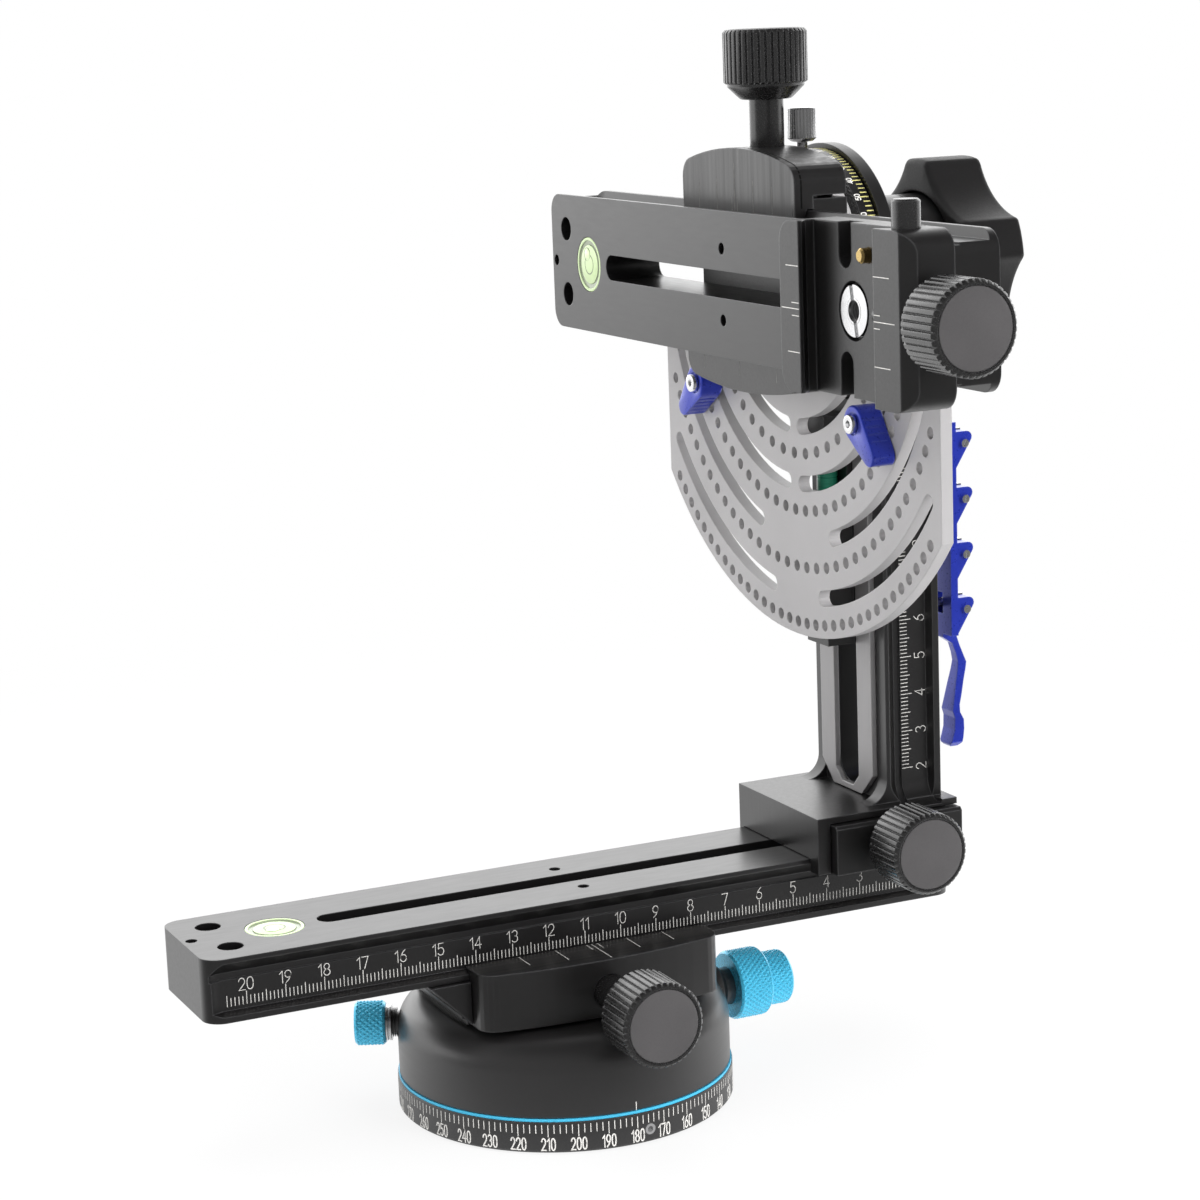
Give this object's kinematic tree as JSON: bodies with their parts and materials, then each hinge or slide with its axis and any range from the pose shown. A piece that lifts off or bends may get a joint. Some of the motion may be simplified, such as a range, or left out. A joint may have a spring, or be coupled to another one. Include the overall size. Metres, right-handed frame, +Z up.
{
  "type": "panoramic tripod head",
  "caption": "Indexed panoramic tripod head: turntable with degree ring, sliding lower rail, slotted column, tilting drilled index plate and camera rail with knob clamps.",
  "frame": {"origin": "centre of the base's flat underside, at the mouth of its tripod thread, on the pan axis", "axes": "+X along the lower rail towards the column and parallel to the tilt axis; +Y away from the side with the clamp knobs and the scale numbers; +Z up along the pan axis"},
  "size_m": [0.2272, 0.2336, 0.2705],
  "materials": {
    "black_body": "black anodised, satin",
    "black_knob": "black anodised, fluted grip",
    "grey_plate": "grey anodised, matt bead-blasted",
    "cyan_anodised": "cyan anodised, diamond knurl",
    "cyan_washer": "smooth",
    "blue_anodised": "blue anodised, satin",
    "steel": "turned",
    "brass": "turned",
    "level_window": "clear window over green liquid",
    "green_barrel": "smooth"
  },
  "bodies": {
    "base": {"base_plate": "black_body", "degree_ring": "black_body", "tripod_bush": "steel", "ring_set_screw": "steel", "index_ring": "steel", "friction_washer": "cyan_washer"},
    "drum": {"drum_shell": "black_body", "plunger_barrel": "black_body", "clamp_base": "black_body", "clamp_base_screws": "steel", "lower_guide_pins": "steel"},
    "selector": {"selector_knob": "cyan_anodised"},
    "plunger": {"release_knob": "cyan_anodised", "index_plunger": "steel"},
    "pan_lock": {"pan_lock_knob": "cyan_anodised", "pan_lock_screw": "steel"},
    "lock_shoe": {"pan_lock_shoe": "brass"},
    "lower_jaw": {"lower_jaw": "black_body"},
    "lower_knob": {"lower_jaw_knob": "black_knob"},
    "lower_rail": {"lower_rail": "black_body", "lower_level": "level_window"},
    "column": {"column": "black_body", "slot_liner": "grey_plate", "foot_guide_pins": "steel"},
    "foot_jaw": {"foot_jaw": "black_body"},
    "foot_knob": {"foot_knob": "black_knob"},
    "carriage": {"stator": "black_body", "detent_housing": "black_body", "detent_collar": "green_barrel", "clamp_stud": "steel", "clamp_hub": "black_body", "lever_pin": "steel"},
    "lobed_knob": {"lobed_knob": "black_knob"},
    "index_lever": {"detent_lever": "blue_anodised", "lever_screws": "steel"},
    "index_pin_1": {"detent_pin_1": "steel"},
    "index_pin_2": {"detent_pin_2": "steel"},
    "index_pin_3": {"detent_pin_3": "steel"},
    "index_pin_4": {"detent_pin_4": "steel"},
    "tilt_head": {"tilt_hub": "black_body", "dial_ring": "black_body", "index_plate": "grey_plate", "upper_clamp": "black_body", "upper_guide_pins": "steel"},
    "upper_jaw": {"upper_jaw": "black_body"},
    "upper_knob": {"upper_knob": "black_knob"},
    "thumbscrew": {"thumbscrew": "steel"},
    "stop_screw_left": {"stop_screw_left": "steel"},
    "stop_screw_right": {"stop_screw_right": "steel"},
    "stop_lever_left": {"stop_lever_left": "blue_anodised"},
    "stop_lever_right": {"stop_lever_right": "blue_anodised"},
    "camera_rail": {"camera_rail": "black_body", "camera_level": "level_window", "quick_clamp": "black_body", "quick_clamp_screw": "steel", "quick_guide_pins": "steel"},
    "safety_pin": {"safety_pin": "brass"},
    "quick_jaw": {"quick_jaw": "black_body"},
    "quick_knob": {"quick_knob": "black_knob"},
    "release_button": {"release_button": "black_knob"}
  },
  "joints": [
    {"name": "pan", "type": "hinge", "parent": "base", "child": "drum", "pos_m": [0, 0, 0], "axis": [0, 0, 1], "continuous": true},
    {"name": "selector_turn", "type": "hinge", "parent": "drum", "child": "selector", "pos_m": [0.05, 0, 0.0203], "axis": [1, 0, 0], "range_deg": [-45, 45]},
    {"name": "plunger_slide", "type": "slide", "parent": "drum", "child": "plunger", "axis": [-1, 0, 0], "range_m": [0, 0.0028]},
    {"name": "pan_lock_turn", "type": "hinge", "parent": "drum", "child": "pan_lock", "pos_m": [-0.04532, 0.02113, 0.0204], "axis": [-0.9063, 0.4226, 0], "range_deg": [0, 180.5]},
    {"name": "lock_shoe_slide", "type": "slide", "parent": "drum", "child": "lock_shoe", "axis": [0.9063, -0.4226, 0], "range_m": [0, 0.00025]},
    {"name": "lower_jaw_slide", "type": "slide", "parent": "drum", "child": "lower_jaw", "axis": [0, -1, 0], "range_m": [0, 0.003]},
    {"name": "lower_jaw_knob_turn", "type": "hinge", "parent": "lower_jaw", "child": "lower_knob", "pos_m": [0, -0.04, 0.036], "axis": [0, -1, 0], "range_deg": [0, 865]},
    {"name": "lower_rail_slide", "type": "slide", "parent": "drum", "child": "lower_rail", "axis": [1, 0, 0], "range_m": [-0.05, 0.05]},
    {"name": "column_foot_slide", "type": "slide", "parent": "lower_rail", "child": "column", "axis": [1, 0, 0], "range_m": [-0.08, 0.001]},
    {"name": "foot_jaw_slide", "type": "slide", "parent": "column", "child": "foot_jaw", "axis": [0, -1, 0], "range_m": [0, 0.003]},
    {"name": "foot_knob_turn", "type": "hinge", "parent": "foot_jaw", "child": "foot_knob", "pos_m": [0.0855, -0.035, 0.0615], "axis": [0, -1, 0], "range_deg": [0, 865]},
    {"name": "carriage_slide", "type": "slide", "parent": "column", "child": "carriage", "axis": [0, 0, -1], "range_m": [0, 0.035]},
    {"name": "lobed_knob_turn", "type": "hinge", "parent": "carriage", "child": "lobed_knob", "pos_m": [0.115, 0, 0.208], "axis": [1, 0, 0], "range_deg": [0, 720]},
    {"name": "index_lever_swing", "type": "hinge", "parent": "carriage", "child": "index_lever", "pos_m": [0.1066, 0, 0.185], "axis": [0, 1, 0], "range_deg": [0, 5.4]},
    {"name": "index_pin_1_slide", "type": "slide", "parent": "carriage", "child": "index_pin_1", "axis": [-1, 0, 0], "range_m": [0, 0.00233]},
    {"name": "index_pin_2_slide", "type": "slide", "parent": "carriage", "child": "index_pin_2", "axis": [-1, 0, 0], "range_m": [0, 0.00375]},
    {"name": "index_pin_3_slide", "type": "slide", "parent": "carriage", "child": "index_pin_3", "axis": [-1, 0, 0], "range_m": [0, 0.00516]},
    {"name": "index_pin_4_slide", "type": "slide", "parent": "carriage", "child": "index_pin_4", "axis": [-1, 0, 0], "range_m": [0, 0.00658]},
    {"name": "tilt", "type": "hinge", "parent": "carriage", "child": "tilt_head", "pos_m": [0.079, 0, 0.208], "axis": [1, 0, 0], "range_deg": [-90, 90]},
    {"name": "upper_jaw_slide", "type": "slide", "parent": "tilt_head", "child": "upper_jaw", "axis": [0, 0, 1], "range_m": [0, 0.003]},
    {"name": "upper_knob_turn", "type": "hinge", "parent": "upper_jaw", "child": "upper_knob", "pos_m": [0.06665, 0, 0.255], "axis": [0, 0, 1], "range_deg": [0, 865]},
    {"name": "thumbscrew_turn", "type": "hinge", "parent": "tilt_head", "child": "thumbscrew", "pos_m": [0.07673, 0, 0.245], "axis": [0, 0, 1], "range_deg": [0, 720]},
    {"name": "stop_left_travel", "type": "hinge", "parent": "tilt_head", "child": "stop_screw_left", "pos_m": [0.07, 0, 0.208], "axis": [1, 0, 0], "range_deg": [-45, 16]},
    {"name": "stop_right_travel", "type": "hinge", "parent": "tilt_head", "child": "stop_screw_right", "pos_m": [0.07, 0, 0.208], "axis": [1, 0, 0], "range_deg": [-18, 45]},
    {"name": "stop_left_turn", "type": "hinge", "parent": "stop_screw_left", "child": "stop_lever_left", "pos_m": [0.069, 0.04393, 0.17608], "axis": [1, 0, 0], "range_deg": [-60, 60]},
    {"name": "stop_right_turn", "type": "hinge", "parent": "stop_screw_right", "child": "stop_lever_right", "pos_m": [0.069, -0.04267, 0.17442], "axis": [1, 0, 0], "range_deg": [-60, 60]},
    {"name": "camera_rail_slide", "type": "slide", "parent": "tilt_head", "child": "camera_rail", "axis": [0, 1, 0], "range_m": [-0.05, 0.06]},
    {"name": "safety_pin_slide", "type": "slide", "parent": "camera_rail", "child": "safety_pin", "axis": [1, 0, 0], "range_m": [0, 0.002], "stiffness_N_per_m": 150, "springref_m": -0.002},
    {"name": "quick_jaw_slide", "type": "slide", "parent": "camera_rail", "child": "quick_jaw", "axis": [0, -1, 0], "range_m": [0, 0.003]},
    {"name": "quick_knob_turn", "type": "hinge", "parent": "quick_jaw", "child": "quick_knob", "pos_m": [0.0402, -0.13, 0.208], "axis": [0, -1, 0], "range_deg": [0, 865]},
    {"name": "release_button_slide", "type": "slide", "parent": "quick_jaw", "child": "release_button", "axis": [0, 0, -1], "range_m": [0, 0.0025], "stiffness_N_per_m": 200, "springref_m": -0.002}
  ],
  "couplings": [
    {"joint": "pan_lock_turn", "follows": "lock_shoe_slide", "rad_per_m": 12566},
    {"joint": "lower_jaw_knob_turn", "follows": "lower_jaw_slide", "rad_per_m": 5026.5},
    {"joint": "foot_knob_turn", "follows": "foot_jaw_slide", "rad_per_m": 5026.5},
    {"joint": "upper_knob_turn", "follows": "upper_jaw_slide", "rad_per_m": 5026.5},
    {"joint": "quick_knob_turn", "follows": "quick_jaw_slide", "rad_per_m": 5026.5},
    {"joint": "index_pin_1_slide", "follows": "index_lever_swing", "m_per_rad": 0.02472},
    {"joint": "index_pin_2_slide", "follows": "index_lever_swing", "m_per_rad": 0.03969},
    {"joint": "index_pin_3_slide", "follows": "index_lever_swing", "m_per_rad": 0.05466},
    {"joint": "index_pin_4_slide", "follows": "index_lever_swing", "m_per_rad": 0.06963}
  ]
}
